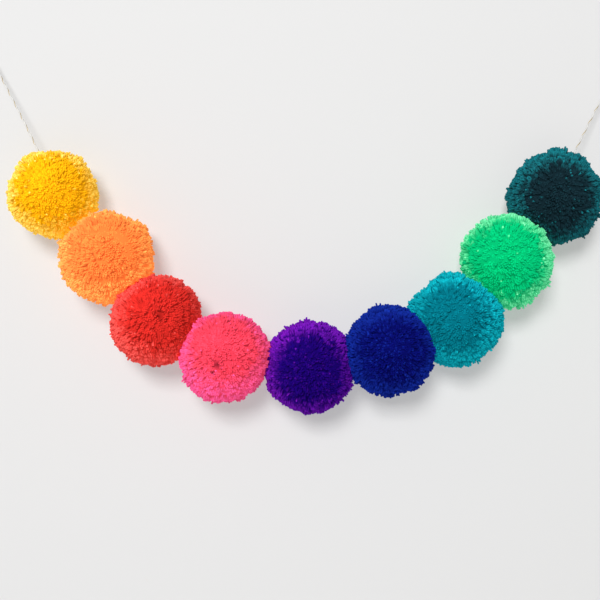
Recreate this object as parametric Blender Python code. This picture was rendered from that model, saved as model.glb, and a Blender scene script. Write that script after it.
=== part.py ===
# Garland of nine yarn pompoms threaded on one twine, hung in a swag from two hooks.
# Metres, +Z up. The origin is where the left loop bears on its hook, X runs to the right hook
# and -Y is the side that faces the room.
import math
import random
from collections import namedtuple

import bmesh
import bpy
from mathutils import Matrix, Vector, noise

MM = 0.001
CLEARANCE = 0.3 * MM        # kept between pieces that touch on the real garland

# Swag: both hooks stand in the plane y = 0, and nothing reaches behind BACK_Y
LEFT_HOOK = Vector((0, 0, 0))
RIGHT_HOOK = Vector((466.5, 0, -19)) * MM
BACK_Y = 4 * MM

# Each pompom's centre and reach in mm. lean is the angle in degrees by which it spreads over
# the next pompom, or, where negative, the next one spreads over it.
Pompom = namedtuple("Pompom", "name x y z reach lean colour")
POMPOMS = [
    Pompom("yellow", 62.5, -24, -122, 31.5, -12, (0.92, 0.44, 0.01)),
    Pompom("orange", 100.5, -27, -166.5, 33.2, -12, (0.97, 0.23, 0.05)),
    Pompom("red", 134.5, -29, -209.5, 32.2, -12, (0.68, 0.03, 0.03)),
    Pompom("pink", 181.5, -31, -234, 31.2, 12, (0.92, 0.06, 0.13)),
    Pompom("purple", 239.5, -26, -241.5, 31.8, -12, (0.09, 0.01, 0.28)),
    Pompom("blue", 295.5, -30, -230, 31.1, 12, (0.01, 0.03, 0.24)),
    Pompom("turquoise", 341, -28, -208.5, 32.2, 5, (0.01, 0.22, 0.30)),
    Pompom("green", 376, -26, -168, 33.4, 12, (0.01, 0.55, 0.20)),
    Pompom("teal", 410.5, -23, -124, 32.5, 0, (0.01, 0.08, 0.10)),
]

# Pompom: a lumpy ball of packed yarn ends with longer locks standing out of it
BALL_SHARE = 0.92           # the ball's radius as a share of the reach
LUMP_HEIGHT = 0.2           # most that a lump or dent could be, as a share of the ball's radius
LUMP_SIZE = 10 * MM         # distance from lump to lump
NOISE_STEP = 7.3            # moves each ball to lumps of its own
LOCKS_TRIED = 48            # directions tried round a whole ball
LOCK_ROOT_SHARE = 0.72      # where a lock starts, as a share of the reach
LOCK_WIDTH = (4.6, 6.8)     # half the diagonal of a lock's cut end, mm
LOCK_ROOT_WIDTH = 0.8       # a lock's root as a share of its cut end
LOCK_LENGTH = (0.97, 1.03)  # how far a lock stands, as a share of the reach
LOCK_SHORTEST = 1.2 * MM    # a lock that stands out less than this is left out
LOCK_SCATTER = 0.10         # how unevenly the locks are spread
TWINE_CLEAR = 12 * MM       # no lock stands this close to the bare twine

# Twine and its two hanging loops
TWINE_RADIUS = 0.7 * MM
TWINE_POINTS = 78
CURVE_STEPS = 60            # fine steps from one route point to the next, before they are evened out
BORE_RADIUS = 1.15 * MM
TWINE_IN = Vector((48, -17.5, -87)) * MM        # where it enters the yellow pompom
TWINE_OUT = Vector((425, -17, -94)) * MM        # where it leaves the teal one
LOOP_LENGTH = 19 * MM
LOOP_WIDTH = 9 * MM
LOOP_POINTS = 17
LOOP_OPEN = math.radians(34)    # where on the drop's curve its legs leave the knot
DROP_HALF_WIDTH = 0.77          # of a drop of unit size
LEG_APART = 1.7 * MM            # between the loop's two legs in the knot
KNOT_RADIUS = 1.7 * MM
KNOT_LONG = 1.35            # the knot's length as a share of its width
TURNS = ((24, 0), (-21, 25))    # how far each of the knot's turns slants and is rolled, degrees
TAIL_LENGTH = 11 * MM
TAIL_SWING = 0.5            # how far the free end stands out, as a share of its length
TWINE_COLOUR = (0.86, 0.83, 0.77)


def clear_scene():
    for obj in list(bpy.data.objects):
        bpy.data.objects.remove(obj, do_unlink=True)


def new_collection(name, hidden=False):
    collection = bpy.data.collections.new(name)
    collection.hide_render = hidden
    bpy.context.scene.collection.children.link(collection)
    return collection


def add_object(name, data, collection):
    obj = bpy.data.objects.new(name, data)
    collection.objects.link(obj)
    if collection.hide_render:
        obj.hide_render = True
        obj.display_type = "WIRE"
    return obj


def paint(obj, colour, roughness):
    material = bpy.data.materials.new(obj.name)
    material.use_nodes = True
    shader = material.node_tree.nodes["Principled BSDF"]
    shader.inputs["Base Color"].default_value = (*colour, 1)
    shader.inputs["Roughness"].default_value = roughness
    shader.inputs["Metallic"].default_value = 0
    obj.data.materials.clear()
    obj.data.materials.append(material)


def to_mesh(name, bm):
    bmesh.ops.recalc_face_normals(bm, faces=bm.faces)
    mesh = bpy.data.meshes.new(name)
    bm.to_mesh(mesh)
    bm.free()
    mesh.shade_smooth()
    mesh.set_sharp_from_angle(angle=math.radians(40))
    return mesh


def tube(name, points, radius, collection):
    """A round tube along the points, as a closed mesh."""
    curve = bpy.data.curves.new(name, "CURVE")
    curve.dimensions = "3D"
    curve.bevel_depth = radius
    curve.bevel_resolution = 2
    curve.use_fill_caps = True
    spline = curve.splines.new("POLY")
    spline.points.add(len(points) - 1)
    for place, point in zip(spline.points, points):
        place.co = (*point, 1)
    guide = add_object(name + "_guide", curve, collection)
    bpy.context.view_layer.update()
    graph = bpy.context.evaluated_depsgraph_get()
    mesh = bpy.data.meshes.new_from_object(guide.evaluated_get(graph))
    matrix = guide.matrix_world.copy()
    bpy.data.objects.remove(guide)
    bm = bmesh.new()
    bm.from_mesh(mesh)
    bpy.data.meshes.remove(mesh)
    bmesh.ops.remove_doubles(bm, verts=bm.verts, dist=0.005 * MM)
    obj = add_object(name, to_mesh(name, bm), collection)
    obj.matrix_world = matrix
    return obj


def boolean(obj, other, operation):
    modifier = obj.modifiers.new(f"{operation.lower()} {other.name}", "BOOLEAN")
    modifier.operation = operation
    modifier.object = other
    modifier.solver = "EXACT"
    modifier.use_self = operation == "UNION"


def smooth_curve(route, count):
    """Evenly spaced points on a Catmull-Rom curve through the route."""
    ends = [2 * route[0] - route[1], *route, 2 * route[-1] - route[-2]]
    fine = []
    for before, start, end, after in zip(ends, ends[1:], ends[2:], ends[3:]):
        slope_in, slope_out = (end - before) / 2, (after - start) / 2
        for step in range(CURVE_STEPS):
            t = step / CURVE_STEPS
            fine.append(
                (2 * t**3 - 3 * t**2 + 1) * start + (t**3 - 2 * t**2 + t) * slope_in
                + (3 * t**2 - 2 * t**3) * end + (t**3 - t**2) * slope_out
            )
    fine.append(route[-1].copy())
    lengths = [(b - a).length for a, b in zip(fine, fine[1:])]
    gap = sum(lengths) / (count - 1)
    points, passed, wanted = [fine[0]], 0, gap
    for start, end, length in zip(fine, fine[1:], lengths):
        while passed + length >= wanted and len(points) < count - 1:
            points.append(start.lerp(end, (wanted - passed) / length))
            wanted += gap
        passed += length
    return points + [fine[-1]]


def centre_of(pompom):
    return Vector((pompom.x, pompom.y, pompom.z)) * MM


def contact(first, second):
    """Where two neighbours press on each other: a point and the direction towards the second."""
    line = centre_of(second) - centre_of(first)
    reach_a, reach_b = first.reach * MM, second.reach * MM
    share = 0.5 + (reach_a**2 - reach_b**2) / (2 * line.length_squared)
    towards = line.normalized()
    towards.y += math.tan(math.radians(first.lean))
    return centre_of(first) + line * share, towards.normalized()


def limits_of(index):
    """Planes, each a point and an outward direction, that the pompom stays inside."""
    planes = [(Vector((0, BACK_Y - CLEARANCE, 0)), Vector((0, 1, 0)))]
    if index > 0:
        point, towards = contact(POMPOMS[index - 1], POMPOMS[index])
        planes.append((point + towards * CLEARANCE / 2, -towards))
    if index < len(POMPOMS) - 1:
        point, towards = contact(POMPOMS[index], POMPOMS[index + 1])
        planes.append((point - towards * CLEARANCE / 2, towards))
    return planes


def room(centre, direction, planes):
    """How far one can go from the centre before meeting a plane."""
    distances = [
        (point - centre).dot(outward) / direction.dot(outward)
        for point, outward in planes
        if direction.dot(outward) > 1e-6
    ]
    return min(distances, default=1)


def ball_radius(pompom, direction, planes, seed):
    """The lumpy ball's radius in one direction, flattened on the planes."""
    base = BALL_SHARE * pompom.reach * MM
    where = direction * base / LUMP_SIZE + Vector((seed * NOISE_STEP, 0, 0))
    lumpy = base * (1 + LUMP_HEIGHT * noise.noise(where))
    return min(lumpy, room(centre_of(pompom), direction, planes))


def spread_directions(count, scatter, rng):
    """Directions spread round a ball on a golden spiral, each pushed a little aside."""
    turn = math.pi * (3 - math.sqrt(5))
    for index in range(count):
        height = 1 - 2 * (index + 0.5) / count
        ring = math.sqrt(1 - height**2)
        aside = Vector([rng.uniform(-scatter, scatter) for _ in range(3)])
        place = Vector((ring * math.cos(index * turn), height, ring * math.sin(index * turn)))
        yield (place + aside).normalized()


def add_lock(bm, centre, direction, roll, root, tip, width):
    turn = direction.to_track_quat("Z", "Y").to_matrix().to_4x4()
    middle = centre + direction * (root + tip) / 2
    placed = Matrix.Translation(middle) @ turn @ Matrix.Rotation(roll, 4, "Z")
    made = bmesh.ops.create_cone(
        bm, cap_ends=True, segments=4, radius1=width * LOCK_ROOT_WIDTH, radius2=width,
        depth=tip - root, matrix=placed,
    )
    return made["verts"]


def make_locks(pompom, planes, seed, helpers):
    """All the locks of one pompom that keep inside its planes, as one helper object."""
    rng = random.Random(seed)
    centre, reach = centre_of(pompom), pompom.reach * MM
    bare_twine = [TWINE_IN - centre, TWINE_OUT - centre]
    bm = bmesh.new()
    count = 0
    for direction in spread_directions(LOCKS_TRIED, LOCK_SCATTER, rng):
        roll, width = rng.uniform(0, math.pi / 2), rng.uniform(*LOCK_WIDTH) * MM
        tip = reach * rng.uniform(*LOCK_LENGTH)
        shortest = ball_radius(pompom, direction, planes, seed) + LOCK_SHORTEST
        if any((direction * reach - twine).length < TWINE_CLEAR for twine in bare_twine):
            continue
        while tip > shortest:
            verts = add_lock(bm, centre, direction, roll, LOCK_ROOT_SHARE * reach, tip, width)
            if all((v.co - point).dot(outward) < 0 for v in verts for point, outward in planes):
                count += 1
                break
            bmesh.ops.delete(bm, geom=verts, context="VERTS")
            tip -= MM
    return add_object(f"locks_{pompom.name}", to_mesh(f"locks_{pompom.name}", bm), helpers), count


def make_pompom(index, garland, helpers, bore):
    pompom = POMPOMS[index]
    planes, centre = limits_of(index), centre_of(pompom)
    bm = bmesh.new()
    bmesh.ops.create_icosphere(bm, subdivisions=3, radius=1)
    for vert in bm.verts:
        direction = vert.co.normalized()
        vert.co = centre + direction * ball_radius(pompom, direction, planes, index)
    name = f"pompom_{pompom.name}"
    ball = add_object(name, to_mesh(name, bm), garland)
    locks, count = make_locks(pompom, planes, index, helpers)
    boolean(ball, locks, "UNION")
    boolean(ball, bore, "DIFFERENCE")
    paint(ball, pompom.colour, 0.95)
    return count


def towards_pompom(hook, entry):
    """The way the taut twine leaves its hook, and the direction across its loop."""
    along = (entry - hook).normalized()
    return along, along.cross(Vector((0, 1, 0))).normalized()


def knot_centre(hook, entry):
    along, _ = towards_pompom(hook, entry)
    return hook + along * (LOOP_LENGTH + KNOT_RADIUS * KNOT_LONG)


def twine_start(hook, entry):
    along, _ = towards_pompom(hook, entry)
    knot_end = KNOT_RADIUS * KNOT_LONG + TWINE_RADIUS
    return knot_centre(hook, entry) + along * (knot_end + CLEARANCE)


def loop_points(hook, along, across, centre):
    """A drop: round where it bears on the hook, its two legs side by side in the knot."""
    length = (centre - hook).length + TWINE_RADIUS
    points = [centre + across * LEG_APART / 2]
    for step in range(LOOP_POINTS):
        t = LOOP_OPEN + (math.tau - 2 * LOOP_OPEN) * step / (LOOP_POINTS - 1)
        side = LOOP_WIDTH / 2 * math.sin(t) * abs(math.sin(t / 2)) / DROP_HALF_WIDTH
        points.append(centre - along * length * (1 - math.cos(t)) / 2 + across * side)
    return points + [centre - across * LEG_APART / 2]


def tail_points(centre, outwards):
    """The knot's free end, which curls out and down."""
    reach = outwards * TAIL_SWING * TAIL_LENGTH
    drop = Vector((0, 0, -TAIL_LENGTH))
    return [centre + reach * math.sin(t * math.pi / 2) + drop * t**1.5 for t in (0, 0.25, 0.5, 0.75, 1)]


def knot_ball(name, placed, helpers):
    bm = bmesh.new()
    bmesh.ops.create_icosphere(bm, subdivisions=2, radius=KNOT_RADIUS)
    bmesh.ops.transform(bm, matrix=placed @ Matrix.Diagonal((1, 1, KNOT_LONG, 1)), verts=bm.verts)
    return add_object(name, to_mesh(name, bm), helpers)


def knot_turn(name, placed, lean, roll, helpers):
    """One turn of twine round the knot."""
    slant = Matrix.Rotation(math.radians(lean), 4, "X") @ Matrix.Rotation(math.radians(roll), 4, "Z")
    bpy.ops.mesh.primitive_torus_add(
        major_segments=8, minor_segments=6, major_radius=KNOT_RADIUS, minor_radius=TWINE_RADIUS
    )
    ring = bpy.context.object
    mesh = ring.data
    bpy.data.objects.remove(ring)
    mesh.transform(placed @ slant)
    return add_object(name, mesh, helpers)


def make_loop(name, hook, entry, outwards, garland, helpers):
    along, across = towards_pompom(hook, entry)
    centre = knot_centre(hook, entry)
    placed = Matrix.Translation(centre) @ along.to_track_quat("Z", "Y").to_matrix().to_4x4()
    loop = tube(name, loop_points(hook, along, across, centre), TWINE_RADIUS, garland)
    pieces = [
        knot_ball(f"{name}_knot", placed, helpers),
        *[knot_turn(f"{name}_turn_{lean}", placed, lean, roll, helpers) for lean, roll in TURNS],
        tube(f"{name}_tail", tail_points(centre, outwards), TWINE_RADIUS, helpers),
    ]
    for piece in pieces:
        boolean(loop, piece, "UNION")
    paint(loop, TWINE_COLOUR, 0.9)


def main():
    clear_scene()
    garland = new_collection("pompom_garland")
    helpers = new_collection("helpers", hidden=True)

    start, end = twine_start(LEFT_HOOK, TWINE_IN), twine_start(RIGHT_HOOK, TWINE_OUT)
    route = [start, TWINE_IN, *[centre_of(p) for p in POMPOMS], TWINE_OUT, end]
    points = smooth_curve(route, TWINE_POINTS)
    twine = tube("twine", points, TWINE_RADIUS, garland)
    paint(twine, TWINE_COLOUR, 0.9)
    bore = tube("bore", points, BORE_RADIUS, helpers)

    locks = sum(make_pompom(i, garland, helpers, bore) for i in range(len(POMPOMS)))
    make_loop("loop_left", LEFT_HOOK, TWINE_IN, Vector((-1, 0, 0)), garland, helpers)
    make_loop("loop_right", RIGHT_HOOK, TWINE_OUT, Vector((1, 0, 0)), garland, helpers)
    length = sum((b - a).length for a, b in zip(points, points[1:]))
    print(f"{locks} locks, twine {length:.3f} m from knot to knot")


main()
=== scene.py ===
import math

import bpy
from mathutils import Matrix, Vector


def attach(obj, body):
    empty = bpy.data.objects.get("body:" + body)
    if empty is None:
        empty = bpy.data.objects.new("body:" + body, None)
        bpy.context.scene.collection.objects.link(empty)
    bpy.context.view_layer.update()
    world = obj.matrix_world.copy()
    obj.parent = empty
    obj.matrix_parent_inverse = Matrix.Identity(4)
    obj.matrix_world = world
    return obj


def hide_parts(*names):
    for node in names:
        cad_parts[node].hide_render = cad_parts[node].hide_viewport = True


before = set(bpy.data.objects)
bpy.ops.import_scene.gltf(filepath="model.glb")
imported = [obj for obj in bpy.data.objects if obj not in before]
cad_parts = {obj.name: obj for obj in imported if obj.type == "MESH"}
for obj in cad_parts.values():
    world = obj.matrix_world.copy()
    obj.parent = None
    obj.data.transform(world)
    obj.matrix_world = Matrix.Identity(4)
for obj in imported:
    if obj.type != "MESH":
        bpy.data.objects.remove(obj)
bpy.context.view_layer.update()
millimetre = 0.001
print("frame loaded:", len(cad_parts), "solids")


# Node sheets: one wrapped socket for the maths, one method for every other node

class Wire:
    def __init__(self, sheet, socket):
        self.sheet, self.socket = sheet, socket
        self.isVector = socket.type in ("VECTOR", "RGBA")

    def join(self, other, operation, turned=False):
        first, second = (other, self) if turned else (self, other)
        vectors = [isVectorLike(first), isVectorLike(second)]
        if not any(vectors):
            return self.sheet.maths(operation, first, second)
        if operation == "MULTIPLY" and not all(vectors):
            vector, number = (first, second) if vectors[0] else (second, first)
            return self.sheet.vectorMaths("SCALE", vector, scale=number)
        return self.sheet.vectorMaths(operation, first, second)

    def __add__(self, other):
        return self.join(other, "ADD")

    def __radd__(self, other):
        return self.join(other, "ADD", True)

    def __sub__(self, other):
        return self.join(other, "SUBTRACT")

    def __rsub__(self, other):
        return self.join(other, "SUBTRACT", True)

    def __mul__(self, other):
        return self.join(other, "MULTIPLY")

    def __rmul__(self, other):
        return self.join(other, "MULTIPLY", True)

    def __truediv__(self, other):
        return self.join(other, "DIVIDE")

    def __rtruediv__(self, other):
        return self.join(other, "DIVIDE", True)

    def __pow__(self, other):
        return self.join(other, "POWER")


def isVectorLike(value):
    return value.isVector if isinstance(value, Wire) else isinstance(value, (tuple, list, Vector))


class Sheet:
    def __init__(self, nodeTree):
        self.tree = nodeTree

    def feed(self, socket, value):
        if isinstance(value, Wire):
            self.tree.links.new(value.socket, socket)
        elif value is not None:
            if isVectorLike(value) and socket.type == "RGBA" and len(value) == 3:
                value = (*value, 1)
            socket.default_value = value

    def add(self, kind, settings=None, inputs=None, output=None):
        # settings come first, because they decide which sockets a node shows
        node = self.tree.nodes.new(kind)
        for name, value in (settings or {}).items():
            if name == "stops":
                self.setStops(node.color_ramp, value)
            else:
                setattr(node, name, value)
        for key, value in (inputs or {}).items():
            socket = node.inputs[key] if isinstance(key, int) else self.shown(node.inputs, key)
            self.feed(socket, value)
        return Wire(self, self.shown(node.outputs, output))

    def shown(self, sockets, name=None):
        # the first socket in use, or the first of that name
        return next(s for s in sockets if s.enabled and name in (None, s.name))

    def setStops(self, ramp, stops):
        for place, _ in stops[2:]:
            ramp.elements.new(place)
        for element, (place, colour) in zip(ramp.elements, sorted(stops)):
            element.position = place
            element.color = (*colour, 1)

    def maths(self, operation, first, second=None, third=None):
        return self.add("ShaderNodeMath", {"operation": operation}, {0: first, 1: second, 2: third})

    def vectorMaths(self, operation, first, second=None, scale=None):
        inputs = {0: first, 1: second}
        if scale is not None:
            inputs["Scale"] = scale
        return self.add("ShaderNodeVectorMath", {"operation": operation}, inputs)

    def dot(self, first, second):
        return self.vectorMaths("DOT_PRODUCT", first, second)

    def unit(self, vector):
        return self.vectorMaths("NORMALIZE", vector)

    def cross(self, first, second):
        return self.vectorMaths("CROSS_PRODUCT", first, second)

    def combine(self, x, y, z):
        return self.add("ShaderNodeCombineXYZ", None, {"X": x, "Y": y, "Z": z})

    def blend(self, first, second, share):
        settings = {"data_type": "RGBA", "blend_type": "MIX"}
        return self.add("ShaderNodeMix", settings, {"Factor": share, "A": first, "B": second})


def numberBetween(sheet, low, high, key, seed):
    inputs = {"Min": low, "Max": high, "ID": key, "Seed": seed}
    return sheet.add("FunctionNodeRandomValue", {"data_type": "FLOAT"}, inputs)


def vectorBetween(sheet, size, key, seed):
    inputs = {"Min": (-size,) * 3, "Max": (size,) * 3, "ID": key, "Seed": seed}
    return sheet.add("FunctionNodeRandomValue", {"data_type": "FLOAT_VECTOR"}, inputs)


# Camera: straight on, its axis level through the middle of the picture

cameraSettings = {
    "place": (233.4, -602.2, -195.1),   # mm from the left hook
    "lens": 50,                         # mm, as is the sensor
    "sensor": 36,
}


def makeCamera(settings):
    data = bpy.data.cameras.new("camera")
    data.lens = settings["lens"]
    data.sensor_width = settings["sensor"]
    camera = bpy.data.objects.new("camera", data)
    bpy.context.scene.collection.objects.link(camera)
    camera.location = Vector(settings["place"]) * millimetre
    camera.rotation_euler = (math.radians(90), 0, 0)
    bpy.context.scene.camera = camera


# Pompoms: places and reaches as in the solids, in mm from the left hook, and the share of the reach
# to which the pile is trimmed between its longest ends

pompomColumns = ("name", "middle", "reach", "lean", "trim")
pompomRows = [
    ("yellow", (62.5, -24, -122), 31.5, -12, 0.955),
    ("orange", (100.5, -27, -166.5), 33.2, -12, 0.955),
    ("red", (134.5, -29, -209.5), 32.2, -12, 0.955),
    ("pink", (181.5, -31, -234), 31.2, 12, 0.98),
    ("purple", (239.5, -26, -241.5), 31.8, -12, 0.99),
    ("blue", (295.5, -30, -230), 31.1, 12, 0.98),
    ("turquoise", (341, -28, -208.5), 32.2, 5, 0.975),
    ("green", (376, -26, -168), 33.4, 12, 0.94),
    ("teal", (410.5, -23, -124), 32.5, 0, 0.96),
]
pompoms = [dict(zip(pompomColumns, row)) for row in pompomRows]

# Features of the pile, by colour. Each starts with its place, right and up of the middle as seen
# from the front. Places and sizes are shares of the reach

# where the pile parts: size, how far it opens, how much longer it is upwards
partings = {
    "red": (0.24, 0.18, 0.135, 1.15, 0.0),
    "pink": (-0.07, -0.12, 0.125, 1.2, 0.85),
}
# where a tuft stands proud: size, height
tufts = {
    "yellow": (-0.56, 0.80, 0.22, 0.06),
    "pink": (0.19, 0.96, 0.16, 0.04),
    "purple": (0.88, -0.38, 0.20, 0.06),
    "teal": (-0.04, 0.97, 0.40, 0.06),
    "green": (0.70, -0.60, 0.30, 0.04),
}
# where the front of the yarn is painted darker, as shade, and towards the rim paler, as rim light:
# size, how far random plies there take the pale painted rim light
paintedFrontShades = {
    "yellow": (0.20, 0.06, 1.82, 0.0),
    "orange": (0.10, 0.22, 1.65, 0.0),
    "red": (0.30, 0.22, 1.65, 0.0),
    "pink": (0.08, 0.36, 1.6, 0.0),
    "purple": (0.03, -0.02, 1.55, 0.12),
    "blue": (-0.05, 0.06, 1.55, 0.4),
    "turquoise": (-0.26, 0.04, 1.45, 0.0),
    "green": (-0.26, 0.01, 1.87, 0.0),
    "teal": (-0.18, -0.10, 1.52, 0.06),
}

yarnSettings = {
    "yarns": 1600,              # cut yarn ends on one pompom
    "plies": 4,                 # each frays into this many plies
    "plyWidth": 1.6,            # mm
    "plySides": 3,
    # from root to tip: how far along the ply, and its width there as a share of the root's
    "plyProfile": [(0.0, 1.0), (0.88, 0.78), (0.98, 0.62), (1.0, 0.0)],
    "widthUneven": 0.2,
    "rootShare": 0.84,          # where the plies start, as a share of the reach
    "packedShare": 0.925,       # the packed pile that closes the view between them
    "packedShade": 0.62,        # its colour, as of a ply this far along, so much of it the deep colour's painted shade
    "packedPale": 0.2,          # and how readily it turns pale, as painted rim light
    "packedFineness": 4,        # how often its faces are divided
    "seedStep": 20,             # from one pompom's random numbers to the next one's

    # how the yarns stand
    "scatter": 0.03,            # how far they are off an even spiral
    "clumpSize": 9.0,           # mm
    "clumpPull": 0.025,         # how much they gather into clumps
    "splay": 0.57,              # plies from the middle of their yarn, as a share of their width
    "rootSplay": 0.6,           # share of it at the root
    "turnUneven": 0.8,          # radians that a ply is off its place round the yarn
    "lean": 0.8,                # mm that a yarn's tip leans aside
    "curl": 0.35,               # and each of its plies
    "sway": 1.1,                # mm that whole areas lean the same way

    # how the scissors left them, as shares of the reach
    "areaLumps": 0.13,          # uneven trimming of whole areas
    "clumpLumps": 0.06,         # and of the clumps in them
    "yarnUneven": 0.03,         # uneven trimming from yarn to yarn
    "plyUneven": 0.010,
    "partingDepth": 0.09,
    "strayShare": 0.012,        # plies that stand out, and how far
    "strayLong": 0.05,

    # how fine each pattern is, in steps for one clump
    "areaSteps": 0.42,
    "swaySteps": 0.6,
    "clumpSteps": 1.3,

    # how the features fade
    "partingLong": 2.5,         # the parting's far end, in parting sizes
    "tuftEdge": 2.0,            # higher is sharper
    "endOnEdge": 2.2,

    # contacts
    "ragged": 2.4,              # mm, where neighbours' yarns run into each other
    "softness": 3.0,            # mm over which the yarn gives way at a contact
    "spread": 0.35,             # how much of it is pushed out sideways there
    "back": 3.7,                # mm behind the hooks, as far as the pile goes

    # looks
    "tipFrom": 0.45,            # along the ply, where its deep colour, darker as painted shade in the pile, starts to turn into the tip's
    "tipTo": 0.9,
    "paleUneven": 0.5,          # how differently the yarns turn pale, as painted rim light
    "specks": 0.02,             # plies that take more of the pale painted rim light, as a share
    "speckPale": 0.8,           # and how much paler
    "darkest": 0.82,            # share of the colour that every ply keeps
    "yarnShades": 0.20,         # what it varies by from yarn to yarn
    "plyShades": 0.16,
    "partingShade": 0.55,       # how much darker a parting is, as painted shade in its groove
    "roughness": 0.9,
    "sheen": 0.3,
    "sheenRoughness": 0.35,
    "gloss": 0.02,
    "fuzz": 0.75,               # 0 lights the yarn as smooth thread, 1 as one soft ball
    "glow": 0.35,               # painted glow, standing in for light that passes through the yarn to its shaded side
    "paleGlow": 0.5,            # and on the palest yarns
    "paleYarns": ("yellow", "orange", "green"),
    "fringe": 0.7,              # how much more painted glow there is where the yarn is seen from the side, as painted rim light
}

# Colours as linear red, green and blue: deep in the pile, a little darker as painted shade; of the
# tips on the front of each pompom, darker as painted shade; and of the tips towards the rim, paler
# as painted rim light
yarnColours = {
    "yellow": ((0.7197, 0.3267, 0.003), (0.8179, 0.3712, 0.0034), (0.9376, 0.8544, 0.2373)),
    "orange": ((0.8534, 0.1775, 0.0359), (0.9697, 0.2017, 0.0408), (0.9592, 0.5153, 0.1251)),
    "red": ((0.5222, 0.0198, 0.0147), (0.5934, 0.0225, 0.0167), (0.9376, 0.1249, 0.1105)),
    "pink": ((0.7223, 0.0455, 0.0841), (0.8208, 0.0517, 0.0955), (0.9038, 0.1221, 0.4176)),
    "purple": ((0.0079, 0.0005, 0.1103), (0.0089, 0.0005, 0.1253), (0.2263, 0.0124, 0.5124)),
    "blue": ((0.0014, 0.0026, 0.0922), (0.0016, 0.0029, 0.1048), (0.0074, 0.0325, 0.3399)),
    "turquoise": ((0.0005, 0.1309, 0.1747), (0.0005, 0.1487, 0.1985), (0.0048, 0.4756, 0.5534)),
    "green": ((0.0005, 0.3653, 0.1256), (0.0005, 0.4151, 0.1428), (0.3286, 0.98, 0.5425)),
    "teal": ((0.005, 0.0164, 0.0226), (0.0056, 0.0186, 0.0256), (0.0073, 0.2016, 0.2377)),
}


def towardsNext(first, second):
    # the plane in which two neighbours press on each other, as in the solids
    start, end = Vector(first["middle"]), Vector(second["middle"])
    line = end - start
    share = 0.5 + (first["reach"] ** 2 - second["reach"] ** 2) / (2 * line.length_squared)
    side = line.normalized()
    side.y += math.tan(math.radians(first["lean"]))
    return start + line * share, side.normalized()


def contactsOf(index):
    # a point and the direction out of the pompom, for the contact before and the one after
    farAway = (Vector((0, 0, 1000)), Vector((0, 0, 1)))
    before, after = farAway, farAway
    if index > 0:
        point, side = towardsNext(pompoms[index - 1], pompoms[index])
        before = (point, -side)
    if index < len(pompoms) - 1:
        after = towardsNext(pompoms[index], pompoms[index + 1])
    return before, after


pompomInputs = [
    ("Pile", "NodeSocketGeometry"), ("Middle", "NodeSocketVector"), ("Reach", "NodeSocketFloat"),
    ("Yarns", "NodeSocketInt"), ("Ply width", "NodeSocketFloat"), ("Seed", "NodeSocketInt"),
    ("Parting", "NodeSocketVector"), ("Parting line", "NodeSocketVector"),
    ("Parting size", "NodeSocketFloat"), ("Parting push", "NodeSocketFloat"),
    ("Tuft", "NodeSocketVector"), ("Tuft size", "NodeSocketFloat"),
    ("Tuft height", "NodeSocketFloat"),
    ("End on", "NodeSocketVector"), ("Painted front shade size", "NodeSocketFloat"),
    ("Rim light speckle", "NodeSocketFloat"),
    ("Before point", "NodeSocketVector"), ("Before side", "NodeSocketVector"),
    ("After point", "NodeSocketVector"), ("After side", "NodeSocketVector"),
    ("Yarn", "NodeSocketMaterial"),
]


def newGeometryTree(name, inputs):
    tree = bpy.data.node_groups.new(name, "GeometryNodeTree")
    for label, kind in inputs:
        tree.interface.new_socket(label, in_out="INPUT", socket_type=kind)
    tree.interface.new_socket("Result", in_out="OUTPUT", socket_type="NodeSocketGeometry")
    sheet = Sheet(tree)
    given = tree.nodes.new("NodeGroupInput")
    return sheet, {label: Wire(sheet, given.outputs[label]) for label, _ in inputs}


def storeNumber(sheet, shape, name, value):
    settings = {"data_type": "FLOAT", "domain": "POINT"}
    inputs = {"Geometry": shape, "Name": name, "Value": value}
    return sheet.add("GeometryNodeStoreNamedAttribute", settings, inputs)


def shadedSmooth(sheet, shape):
    inputs = {"Geometry": shape, "Shade Smooth": True}
    return sheet.add("GeometryNodeSetShadeSmooth", None, inputs)


def finishTree(sheet, shape, material):
    whole = sheet.add("GeometryNodeRealizeInstances", None, {"Geometry": shape})
    dressed = sheet.add("GeometryNodeSetMaterial", None, {"Geometry": whole, "Material": material})
    result = sheet.tree.nodes.new("NodeGroupOutput")
    sheet.feed(result.inputs["Result"], dressed)
    return sheet.tree


def pressed(sheet, place, middle, point, side, margin, values):
    # yarn that would cross a contact is turned aside and lies along it
    depth = sheet.dot(place - point, side) + margin
    over = sheet.maths("SMOOTH_MAX", depth, 0.0, values["softness"] * millimetre)
    fromMiddle = place - middle
    flat = sheet.unit(fromMiddle - side * sheet.dot(fromMiddle, side))
    return place - side * over + flat * (over * values["spread"])


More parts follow.
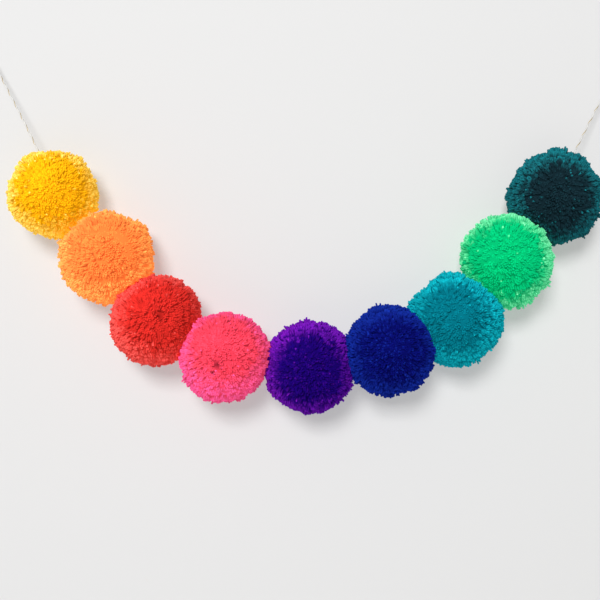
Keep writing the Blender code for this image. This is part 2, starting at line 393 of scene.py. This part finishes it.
def makePompomTree(values):
    sheet, given = newGeometryTree("cutPompom", pompomInputs)
    reach, seed, middle, width = (given[name] for name in ("Reach", "Seed", "Middle", "Ply width"))
    contacts = [(given[f"{which} point"], given[f"{which} side"]) for which in ("Before", "After")]
    back = ((0, values["back"] * millimetre, 0), (0, 1, 0))
    plies, root = values["plies"], values["rootShare"]
    patchStep = 3.7             # from one seed's patch of the noise to the next one's
    offEveryYarn = (0.36, 0.48, 0.80)   # a direction in which no yarn points exactly

    def number(low, high, key, step):
        return numberBetween(sheet, low, high, key, seed + step)

    def noise(place, scale, detail=0.0, output=None):
        inputs = {"Vector": place, "Scale": scale, "Detail": detail}
        return sheet.add("ShaderNodeTexNoise", None, inputs, output)

    def drift(place, scale, detail, size):
        # a vector that changes from place to place, up to about the size each way
        return (noise(place, scale, detail, "Color") - (0.5, 0.5, 0.5)) * (4 * size)

    def nearness(place, centre, size):
        # 1 at the centre of a feature, 0 from its size outwards
        distance = sheet.vectorMaths("LENGTH", place - centre)
        near = sheet.maths("MAXIMUM", 1 - distance / size, 0.0)
        return near * near * (3 - 2 * near)

    # 1 on a patch of the front, where the tips take the darker colour as painted shade, falling to
    # 0 towards the rim, where they take the pale colour as painted rim light
    def paintedFrontShadeShare(towards, uneven):
        near = nearness(towards, given["End on"], given["Painted front shade size"]) * values["endOnEdge"]
        return sheet.maths("MINIMUM", sheet.maths("MAXIMUM", near - uneven, 0.0), 1.0)

    def partedShare(towards):
        # a parting is longer along its line than across it
        off = towards - given["Parting"]
        off = off - given["Parting line"] * sheet.dot(off, given["Parting line"])
        near = nearness(off, (0, 0, 0), given["Parting size"])
        ends = nearness(towards, given["Parting"], given["Parting size"] * values["partingLong"])
        return off, near * ends * given["Parting push"]

    def patchOf(towards):
        clumps = reach / (values["clumpSize"] * millimetre)
        return towards * clumps + sheet.combine(seed * patchStep, 0.0, 0.0)

    def lumpsOf(patch):
        # uneven trimming of whole areas, and of the clumps in them
        areas = noise(patch, values["areaSteps"])
        clumps = noise(patch, values["clumpSteps"])
        return (areas - 0.5) * values["areaLumps"] + (clumps - 0.5) * values["clumpLumps"]

    def pressedByAll(place, contactMargin, backMargin):
        for point, side in contacts:
            place = pressed(sheet, place, middle, point, side, contactMargin, values)
        return pressed(sheet, place, middle, *back, backMargin, values)

    # every ply is a short curve with a point for each row of its profile
    start = sheet.add("GeometryNodePoints", None, {"Count": given["Yarns"] * plies})
    line = sheet.add("GeometryNodeCurvePrimitiveLine")
    points = len(values["plyProfile"])
    line = sheet.add("GeometryNodeResampleCurve", None, {"Curve": line, "Count": points})
    placed = sheet.add("GeometryNodeInstanceOnPoints", None, {"Points": start, "Instance": line})
    curves = sheet.add("GeometryNodeRealizeInstances", None, {"Geometry": placed})
    index = sheet.add("GeometryNodeInputIndex")
    ply = sheet.maths("FLOOR", index / points)
    yarn = sheet.maths("FLOOR", ply / plies)

    def profile(column):
        # a ramp gives each point of a ply the number in its row, as a grey
        rows = enumerate(values["plyProfile"])
        stops = [(row / (points - 1), (pair[column],) * 3) for row, pair in rows]
        share = (index / points - ply) * points / (points - 1)
        grey = sheet.add("ShaderNodeValToRGB", {"stops": stops}, {"Fac": share})
        return sheet.maths("MULTIPLY", grey, 1.0)

    along = profile(0)

    # directions on a golden spiral, scattered and gathered into clumps
    height = 1 - 2 * (yarn + 0.5) / given["Yarns"]
    ring = sheet.maths("SQRT", 1 - height * height)
    turn = yarn * (math.pi * (3 - math.sqrt(5)))
    cosine, sine = sheet.maths("COSINE", turn), sheet.maths("SINE", turn)
    even = sheet.combine(height, ring * cosine, ring * sine)
    patch = patchOf(even)
    scatter = vectorBetween(sheet, values["scatter"], yarn, seed)
    direction = sheet.unit(even + scatter + drift(patch, 1.0, 1.0, values["clumpPull"]))

    # a parting turns the yarns round it away
    off, parted = partedShare(direction)
    direction = sheet.unit(direction + sheet.unit(off) * (parted * given["Parting size"]))

    # the plies stand round the middle of their yarn
    across = sheet.unit(sheet.cross(direction, offEveryYarn))
    other = sheet.cross(direction, across)
    evenTurn = (ply - yarn * plies) * (math.tau / plies)
    angle = evenTurn + number(0, math.tau, yarn, 1) + number(0, values["turnUneven"], ply, 2)
    outward = across * sheet.maths("COSINE", angle) + other * sheet.maths("SINE", angle)
    rootSplay = values["rootSplay"]
    aside = outward * (width * values["splay"]) * (rootSplay + (1 - rootSplay) * along)

    # uneven trimming, with a few strays
    stray = sheet.maths("LESS_THAN", number(0, 1, ply, 3), values["strayShare"])
    tuft = nearness(direction, given["Tuft"], given["Tuft size"]) * values["tuftEdge"]
    longest = (
        1 + lumpsOf(patch) + stray * values["strayLong"]
        + sheet.maths("MINIMUM", tuft, 1.0) * given["Tuft height"]
        - parted * values["partingDepth"] / 2
        + number(-1, 1, yarn, 4) * values["yarnUneven"]
        + number(-1, 1, ply, 5) * values["plyUneven"])
    far = reach * (root + (longest - root) * along)

    # the tips lean, yarn by yarn, ply by ply and area by area
    lean = vectorBetween(sheet, values["lean"] * millimetre, yarn, seed + 6)
    curl = vectorBetween(sheet, values["curl"] * millimetre, ply, seed + 7)
    sway = drift(patch, values["swaySteps"], 0.0, values["sway"] * millimetre)
    place = middle + direction * far + aside + (lean + curl + sway) * along
    rag = number(-0.5, 0.5, ply, 8) * (values["ragged"] * millimetre)
    place = pressedByAll(place, rag, 0.0)
    curves = sheet.add("GeometryNodeSetPosition", None, {"Geometry": curves, "Position": place})

    # each ply gets its width, its turn and the numbers that its colour needs
    low, high = 1 - values["widthUneven"], 1 + values["widthUneven"]
    narrow = profile(1) * number(low, high, ply, 9) / values["plyProfile"][1][1]
    tilt = number(0, math.pi, ply, 10)
    curves = sheet.add("GeometryNodeSetCurveTilt", None, {"Curve": curves, "Tilt": tilt})
    # random yarns and plies take more of the pale painted rim light
    speck = sheet.maths("LESS_THAN", number(0, 1, ply, 13), values["specks"])
    uneven = number(0, values["paleUneven"], yarn, 14) + speck * values["speckPale"]
    rimLightSpeckle = 1 - given["Rim light speckle"] * number(0, 1, ply, 15) ** 4
    shades = {
        "along": along, "plyShade": number(0, 1, ply, 11), "yarnShade": number(0, 1, yarn, 12),
        "endOn": paintedFrontShadeShare(direction, uneven) * rimLightSpeckle, "parted": parted,
    }
    for name, value in shades.items():
        curves = storeNumber(sheet, curves, name, value)
    section = sheet.add("GeometryNodeCurvePrimitiveCircle", None, {
        "Resolution": values["plySides"], "Radius": 1.0})
    mesh = sheet.add("GeometryNodeCurveToMesh", None, {
        "Curve": curves, "Profile Curve": section, "Scale": width / 2 * narrow, "Fill Caps": False})
    # the tips close to a point
    mesh = sheet.add("GeometryNodeMergeByDistance", None, {"Geometry": mesh, "Distance": 1e-7})
    mesh = shadedSmooth(sheet, mesh)

    # the packed middle of the pompom closes the view between the plies
    ball = sheet.add("GeometryNodeMeshIcoSphere", None, {
        "Radius": 1.0, "Subdivisions": values["packedFineness"]})
    outwards = sheet.unit(sheet.add("GeometryNodeInputPosition"))
    _, parted = partedShare(outwards)
    # the packed pile gets the same painted front shade and rim light
    endOn = paintedFrontShadeShare(outwards, values["packedPale"])
    for name, value in {"along": values["packedShade"], "endOn": endOn, "parted": parted}.items():
        ball = storeNumber(sheet, ball, name, value)
    lumps = values["packedShare"] + lumpsOf(patchOf(outwards)) - parted * values["partingDepth"]
    hull = pressedByAll(middle + outwards * (reach * lumps), millimetre, millimetre)
    ball = sheet.add("GeometryNodeSetPosition", None, {"Geometry": ball, "Position": hull})
    ball = shadedSmooth(sheet, ball)
    both = sheet.tree.nodes.new("GeometryNodeJoinGeometry")
    for part in (mesh, ball):
        sheet.tree.links.new(part.socket, both.inputs[0])
    return finishTree(sheet, Wire(sheet, both.outputs[0]), given["Yarn"])


def madeByNodes(name, tree, inputs, route=()):
    # runs a tree, on a line of points if one is given, and keeps the result as a plain mesh
    line = bpy.data.meshes.new(name + "Line")
    line.from_pydata(route, [(i, i + 1) for i in range(len(route) - 1)], [])
    maker = bpy.data.objects.new(name + "Maker", line)
    bpy.context.scene.collection.objects.link(maker)
    modifier = maker.modifiers.new("make", "NODES")
    modifier.node_group = tree
    sockets = {s.name: s.identifier for s in tree.interface.items_tree if s.in_out == "INPUT"}
    for label, value in inputs.items():
        modifier[sockets[label]] = value
    graph = bpy.context.evaluated_depsgraph_get()
    mesh = bpy.data.meshes.new_from_object(maker.evaluated_get(graph), depsgraph=graph)
    mesh.name = name
    bpy.data.objects.remove(maker)
    piece = bpy.data.objects.new(name, mesh)
    bpy.context.scene.collection.objects.link(piece)
    return piece


def newMaterial(name):
    material = bpy.data.materials.new(name)
    material.use_nodes = True
    material.node_tree.nodes.clear()
    return material, Sheet(material.node_tree)


def finishMaterial(sheet, shader):
    result = sheet.tree.nodes.new("ShaderNodeOutputMaterial")
    sheet.feed(result.inputs["Surface"], shader)


def attribute(sheet, name):
    settings = {"attribute_type": "GEOMETRY", "attribute_name": name}
    return sheet.add("ShaderNodeAttribute", settings, None, "Fac")


def makeYarnMaterial(name, middle, values):
    material, sheet = newMaterial(f"{name}Yarn")
    deepColour, shadedFrontColour, paintedRimLightColour = yarnColours[name]
    # tips take the darker front colour as painted shade, and the pale one towards the rim as
    # painted rim light
    endOn = attribute(sheet, "endOn")
    tip = sheet.blend(paintedRimLightColour, shadedFrontColour, endOn)
    # plies are painted darker towards their roots, as shade deep in the pile
    stops = [(values["tipFrom"], (0, 0, 0)), (values["tipTo"], (1, 1, 1))]
    share = sheet.add("ShaderNodeValToRGB", {"stops": stops}, {"Fac": attribute(sheet, "along")})
    body = sheet.blend(deepColour, tip, share)
    # random tone from yarn to yarn and from ply to ply, and painted shade darkening a parting
    shade = (
        values["darkest"] + values["yarnShades"] * attribute(sheet, "yarnShade")
        + values["plyShades"] * attribute(sheet, "plyShade")
        - values["partingShade"] * attribute(sheet, "parted"))
    # painted glow in the yarn's deep colour stands in for light passed through it, and more is
    # painted towards the rim as rim light
    paintedGlowShare = (1 + values["fringe"] * (1 - endOn)) * shade
    glow = values["paleGlow" if name in values["paleYarns"] else "glow"]
    # light falls on the fuzz of the yarn more as on a soft ball than as on a clean thread
    place = sheet.add("ShaderNodeTexCoord", None, None, "Object")
    asBall = sheet.unit(place - tuple(middle)) * values["fuzz"]
    asThread = sheet.add("ShaderNodeNewGeometry", None, None, "Normal") * (1 - values["fuzz"])
    finishMaterial(sheet, sheet.add("ShaderNodeBsdfPrincipled", None, {
        "Base Color": body * shade, "Normal": sheet.unit(asThread + asBall),
        "Roughness": values["roughness"], "Specular IOR Level": values["gloss"],
        "Sheen Weight": values["sheen"], "Sheen Roughness": values["sheenRoughness"],
        "Sheen Tint": paintedRimLightColour,
        "Emission Color": sheet.combine(*deepColour) * paintedGlowShare, "Emission Strength": glow}))
    return material


def frontDirection(right, up):
    # a place on the front of a pompom, as a direction from its middle
    towardsFront = math.sqrt(1 - right * right - up * up)
    return Vector((right, -towardsFront, up)).normalized()


def featuresOf(name):
    # a pompom without a parting or a tuft gets one of no strength
    right, up, size, push, longer = partings.get(name, (0, 0, 0.1, 0, 0))
    tuftRight, tuftUp, tuftSize, tuftHeight = tufts.get(name, (0, 0, 0.1, 0))
    frontShadeRight, frontShadeUp, frontShadeSize, rimSpeckle = paintedFrontShades[name]
    return {
        "End on": frontDirection(frontShadeRight, frontShadeUp), "Painted front shade size": frontShadeSize, "Rim light speckle": rimSpeckle,
        "Parting": frontDirection(right, up), "Parting line": Vector((0, 0, longer)),
        "Parting size": size, "Parting push": push,
        "Tuft": frontDirection(tuftRight, tuftUp), "Tuft size": tuftSize, "Tuft height": tuftHeight,
    }


def makePompoms():
    tree = makePompomTree(yarnSettings)
    for index, row in enumerate(pompoms):
        before, after = contactsOf(index)
        name = row["name"]
        piece = madeByNodes(f"{name}Pompom", tree, {
            "Middle": Vector(row["middle"]) * millimetre,
            "Reach": row["reach"] * row["trim"] * millimetre,
            "Yarns": yarnSettings["yarns"],
            "Ply width": yarnSettings["plyWidth"] * millimetre,
            "Seed": yarnSettings["seedStep"] * (index + 1),
            **featuresOf(name),
            "Before point": before[0] * millimetre, "Before side": before[1],
            "After point": after[0] * millimetre, "After side": after[1],
            "Yarn": makeYarnMaterial(name, Vector(row["middle"]) * millimetre, yarnSettings),
        })
        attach(piece, "root")
        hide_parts(f"pompom_{name}")
    print("pompoms made:", len(pompoms), "each of", len(piece.data.polygons), "faces")


# Twine: threaded through every pompom, a knotted loop at each end

twineSettings = {
    "width": 1.4,               # mm, as are the rest
    # each thread's share of a turn, its distance from the axis, its width, and 1 if it is gold
    "threads": [(0.0, 0.46, 0.38, 1.0), (0.25, 0.27, 0.86, 0.0), (0.75, 0.27, 0.86, 0.0)],
    "twist": 10.4,              # for one turn
    "stepsPerTurn": 12,
    "threadSides": 6,
    "gap": 0.3,                 # from a knot to the twine that goes on from it
    "fibres": 2500.0,           # how fine the fibres are
    "fibreShades": (0.82, 1.18),    # share of the colour between them and on them: random tone, darker between them as painted shade
    "fibreDetail": 2.0,
    "fibreDepth": 0.1,
    "fibreBump": 0.5,
    "roughness": (0.9, 0.45),   # of the cotton and of the gold
    "goldMetal": 0.4,
    "gloss": 0.3,
    "leftHook": (0, 0, 0),
    "rightHook": (466.5, 0, -19),
    "entersYellow": (48, -17.5, -87),
    "leavesTeal": (425, -17, -94),
    "curveSteps": 24,           # from each point of the route to the next
}
loopSettings = {
    "length": 19.0,             # mm, as are the rest
    "width": 9.0,
    "points": 17,
    "legsOpen": math.radians(34),
    "dropHalfWidth": 0.77,
    "legApart": 1.7,
    "knotRadius": 1.7,
    "knotLong": 1.35,
    "knotWound": 0.65,          # share of the knot's length that its turns cover
    "turns": 1.75,
    "stepsPerTurn": 8,
    "tail": 11.0,
    "tailSwing": 0.5,           # how far it swings outwards, as a share of its length
    "tailPlaces": (0.35, 0.6, 0.8, 1.0),
    "curveSteps": 4,
}
twineColours = {"cotton": (0.60, 0.595, 0.575), "gold": (0.42, 0.29, 0.09)}


def smoothRoute(route, steps):
    # Catmull-Rom curve through the route, the same number of steps from each point to the next
    ends = [2 * route[0] - route[1], *route, 2 * route[-1] - route[-2]]
    points = []
    for before, start, end, after in zip(ends, ends[1:], ends[2:], ends[3:]):
        slopeIn, slopeOut = (end - before) / 2, (after - start) / 2
        for step in range(steps):
            t = step / steps
            points.append((2 * t**3 - 3 * t**2 + 1) * start + (t**3 - 2 * t**2 + t) * slopeIn
                          + (3 * t**2 - 2 * t**3) * end + (t**3 - t**2) * slopeOut)
    return points + [route[-1].copy()]


twineInputs = [
    ("Route", "NodeSocketGeometry"), ("Twist", "NodeSocketFloat"), ("Twine", "NodeSocketMaterial"),
]


def makeTwineTree(values):
    sheet, given = newGeometryTree("twistedTwine", twineInputs)
    step = values["twist"] / values["stepsPerTurn"] * millimetre
    line = sheet.add("GeometryNodeMeshToCurve", None, {"Mesh": given["Route"]})
    inputs = {"Curve": line, "Length": step}
    line = sheet.add("GeometryNodeResampleCurve", {"mode": "LENGTH"}, inputs)
    normal = sheet.add("GeometryNodeInputNormal")
    across = sheet.cross(sheet.add("GeometryNodeInputTangent"), normal)
    length = sheet.add("GeometryNodeSplineParameter", None, None, "Length")
    threads = sheet.tree.nodes.new("GeometryNodeJoinGeometry")
    for turnShare, fromAxis, width, gold in values["threads"]:
        angle = (length / given["Twist"] + turnShare) * math.tau
        side = normal * sheet.maths("COSINE", angle) + across * sheet.maths("SINE", angle)
        curve = sheet.add("GeometryNodeSetPosition", None, {
            "Geometry": line, "Offset": side * (fromAxis * millimetre)})
        curve = storeNumber(sheet, curve, "gold", gold)
        section = sheet.add("GeometryNodeCurvePrimitiveCircle", None, {
            "Resolution": values["threadSides"], "Radius": width / 2 * millimetre})
        mesh = sheet.add("GeometryNodeCurveToMesh", None, {
            "Curve": curve, "Profile Curve": section, "Fill Caps": True})
        mesh = shadedSmooth(sheet, mesh)
        sheet.tree.links.new(mesh.socket, threads.inputs[0])
    return finishTree(sheet, Wire(sheet, threads.outputs[0]), given["Twine"])


def makeTwineMaterial(colours, values):
    material, sheet = newMaterial("whiteGoldTwine")
    gold = attribute(sheet, "gold")
    place = sheet.add("ShaderNodeTexCoord", None, None, "Object")
    inputs = {"Vector": place, "Scale": values["fibres"], "Detail": values["fibreDetail"]}
    fibre = sheet.add("ShaderNodeTexNoise", None, inputs)
    between, on = values["fibreShades"]
    # the fibres' random tone, darker where they dip as painted shade between them
    shade = between + (on - between) * fibre
    colour = sheet.blend(colours["cotton"], colours["gold"], gold) * shade
    depth = values["fibreDepth"] * millimetre
    inputs = {"Strength": values["fibreBump"], "Distance": depth, "Height": fibre}
    bump = sheet.add("ShaderNodeBump", None, inputs)
    cottonRoughness, goldRoughness = values["roughness"]
    roughness = cottonRoughness + (goldRoughness - cottonRoughness) * gold
    finishMaterial(sheet, sheet.add("ShaderNodeBsdfPrincipled", None, {
        "Base Color": colour, "Roughness": roughness, "Metallic": values["goldMetal"] * gold,
        "Normal": bump, "Specular IOR Level": values["gloss"]}))
    return material


def knotFrame(hook, entry, values):
    along = (entry - hook).normalized()
    across = along.cross(Vector((0, 1, 0))).normalized()
    knotHalf = values["knotRadius"] * values["knotLong"]
    return along, across, hook + along * (values["length"] + knotHalf), knotHalf


def loopRoute(hook, entry, outwards, values, twine):
    # out of the twine, up one leg, round the drop, down the other, round both in the knot and out
    along, across, centre, knotHalf = knotFrame(hook, entry, values)
    third = across.cross(along)
    length = (centre - hook).length + twine["width"] / 2
    half = values["legApart"] / 2
    route = [centre + along * (knotHalf + twine["width"] / 2), centre + across * half]
    opening, last = values["legsOpen"], values["points"] - 1
    for step in range(values["points"]):
        t = opening + (math.tau - 2 * opening) * step / last
        side = values["width"] / 2 * math.sin(t) * abs(math.sin(t / 2)) / values["dropHalfWidth"]
        route.append(centre - along * length * (1 - math.cos(t)) / 2 + across * side)
    steps = round(values["turns"] * values["stepsPerTurn"])
    for step in range(steps + 1):
        angle = math.pi + math.tau * values["turns"] * step / steps
        rise = knotHalf * values["knotWound"] * (2 * step / steps - 1)
        around = across * math.cos(angle) + third * math.sin(angle)
        route.append(centre + along * rise + around * values["knotRadius"])
    for t in values["tailPlaces"]:
        # it leaves sideways and falls more and more steeply
        swing = outwards * values["tailSwing"] * math.sin(t * math.pi / 2)
        route.append(centre + (swing - Vector((0, 0, t**1.5))) * values["tail"])
    return route


def makeTwine(values, loop):
    tree = makeTwineTree(values)
    material = makeTwineMaterial(twineColours, values)
    inputs = {"Twist": values["twist"] * millimetre, "Twine": material}
    leftHook, rightHook = Vector(values["leftHook"]), Vector(values["rightHook"])
    enters, leaves = Vector(values["entersYellow"]), Vector(values["leavesTeal"])

    def endAtKnot(hook, entry):
        along, _, centre, knotHalf = knotFrame(hook, entry, loop)
        return centre + along * (knotHalf + values["width"] / 2 + values["gap"])

    middles = [Vector(row["middle"]) for row in pompoms]
    route = [endAtKnot(leftHook, enters), enters, *middles, leaves, endAtKnot(rightHook, leaves)]
    points = [point * millimetre for point in smoothRoute(route, values["curveSteps"])]
    length = sum((b - a).length for a, b in zip(points, points[1:]))
    twine = madeByNodes("threadedTwine", tree, inputs, points)
    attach(twine, "root")
    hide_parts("twine")

    left, right = Vector((-1, 0, 0)), Vector((1, 0, 0))
    ends = [("left", leftHook, enters, left), ("right", rightHook, leaves, right)]
    for name, hook, entry, outwards in ends:
        route = loopRoute(hook, entry, outwards, loop, values)
        points = [point * millimetre for point in smoothRoute(route, loop["curveSteps"])]
        piece = madeByNodes(f"{name}HangingLoop", tree, inputs, points)
        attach(piece, "root")
        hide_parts(f"loop_{name}")
    print(f"twine and loops made, {length:.3f} m from knot to knot")


# Stage: a plain pale backdrop and floor, soft light from the upper left

stageSettings = {
    "middle": 230,              # mm to the right of the left hook, as are the rest
    "backdropBehind": 4.0,      # behind the hooks
    "backdropSize": 6000,
    "backdropPaint": 0.35,      # how much light the backdrop throws back
    "backdropGlow": 0.34,       # and how bright it is by itself
    "backdropGlowColour": (1.0, 0.997, 0.99),
    "backdropGloss": 0.1,
    "roughness": 0.9,           # of the backdrop and the floor
    "floorDrop": 900.0,         # below the hooks
    "floorSize": 12000,
    "floorColour": (0.60, 0.598, 0.593),
    "skyStrength": 0.3,
    "keyStrength": 50.5,
    "keyPlace": (-120, -2000, 515),
    "keyAim": (233, -20, -190),
    "keySize": 620.0,
}


def makePlane(name, size, place, material):
    bpy.ops.mesh.primitive_plane_add(size=size * millimetre)
    plane = bpy.context.object
    plane.name = name
    plane.location = Vector(place) * millimetre
    plane.data.materials.append(material)
    return plane


def makeBackdrop(values):
    # it is see-through from behind, so that the back of the garland shows in other views
    material, sheet = newMaterial("paleBackdrop")
    paint = sheet.add("ShaderNodeBsdfPrincipled", None, {
        "Base Color": (values["backdropPaint"],) * 3, "Roughness": values["roughness"],
        "Specular IOR Level": values["backdropGloss"],
        "Emission Color": values["backdropGlowColour"],
        "Emission Strength": values["backdropGlow"]})
    clear = sheet.add("ShaderNodeBsdfTransparent")
    behind = sheet.add("ShaderNodeNewGeometry", None, None, "Backfacing")
    finishMaterial(sheet, sheet.add("ShaderNodeMixShader", None, {0: behind, 1: paint, 2: clear}))
    place = (values["middle"], values["backdropBehind"], 0)
    backdrop = makePlane("paleBackdrop", values["backdropSize"], place, material)
    backdrop.rotation_euler = (math.radians(90), 0, 0)
    return backdrop


def makeFloor(values):
    material, sheet = newMaterial("paleFloor")
    finishMaterial(sheet, sheet.add("ShaderNodeBsdfPrincipled", None, {
        "Base Color": values["floorColour"], "Roughness": values["roughness"]}))
    place = (values["middle"], 0, -values["floorDrop"])
    return makePlane("paleFloor", values["floorSize"], place, material)


def makeLight(values):
    key = bpy.data.lights.new("window", "AREA")
    key.energy = values["keyStrength"]
    key.size = values["keySize"] * millimetre
    lamp = bpy.data.objects.new("window", key)
    bpy.context.scene.collection.objects.link(lamp)
    lamp.location = Vector(values["keyPlace"]) * millimetre
    aim = Vector(values["keyAim"]) * millimetre - lamp.location
    lamp.rotation_euler = aim.to_track_quat("-Z", "Y").to_euler()

    world = bpy.data.worlds.new("studio")
    bpy.context.scene.world = world
    world.use_nodes = True
    sky = world.node_tree.nodes["Background"]
    sky.inputs["Color"].default_value = (1, 1, 1, 1)
    sky.inputs["Strength"].default_value = values["skyStrength"]
    bpy.context.scene.view_settings.view_transform = "Standard"


def makeStage(values):
    makeBackdrop(values)
    makeFloor(values)
    makeLight(values)
    print("stage made")


makeCamera(cameraSettings)
makeTwine(twineSettings, loopSettings)
makePompoms()
makeStage(stageSettings)
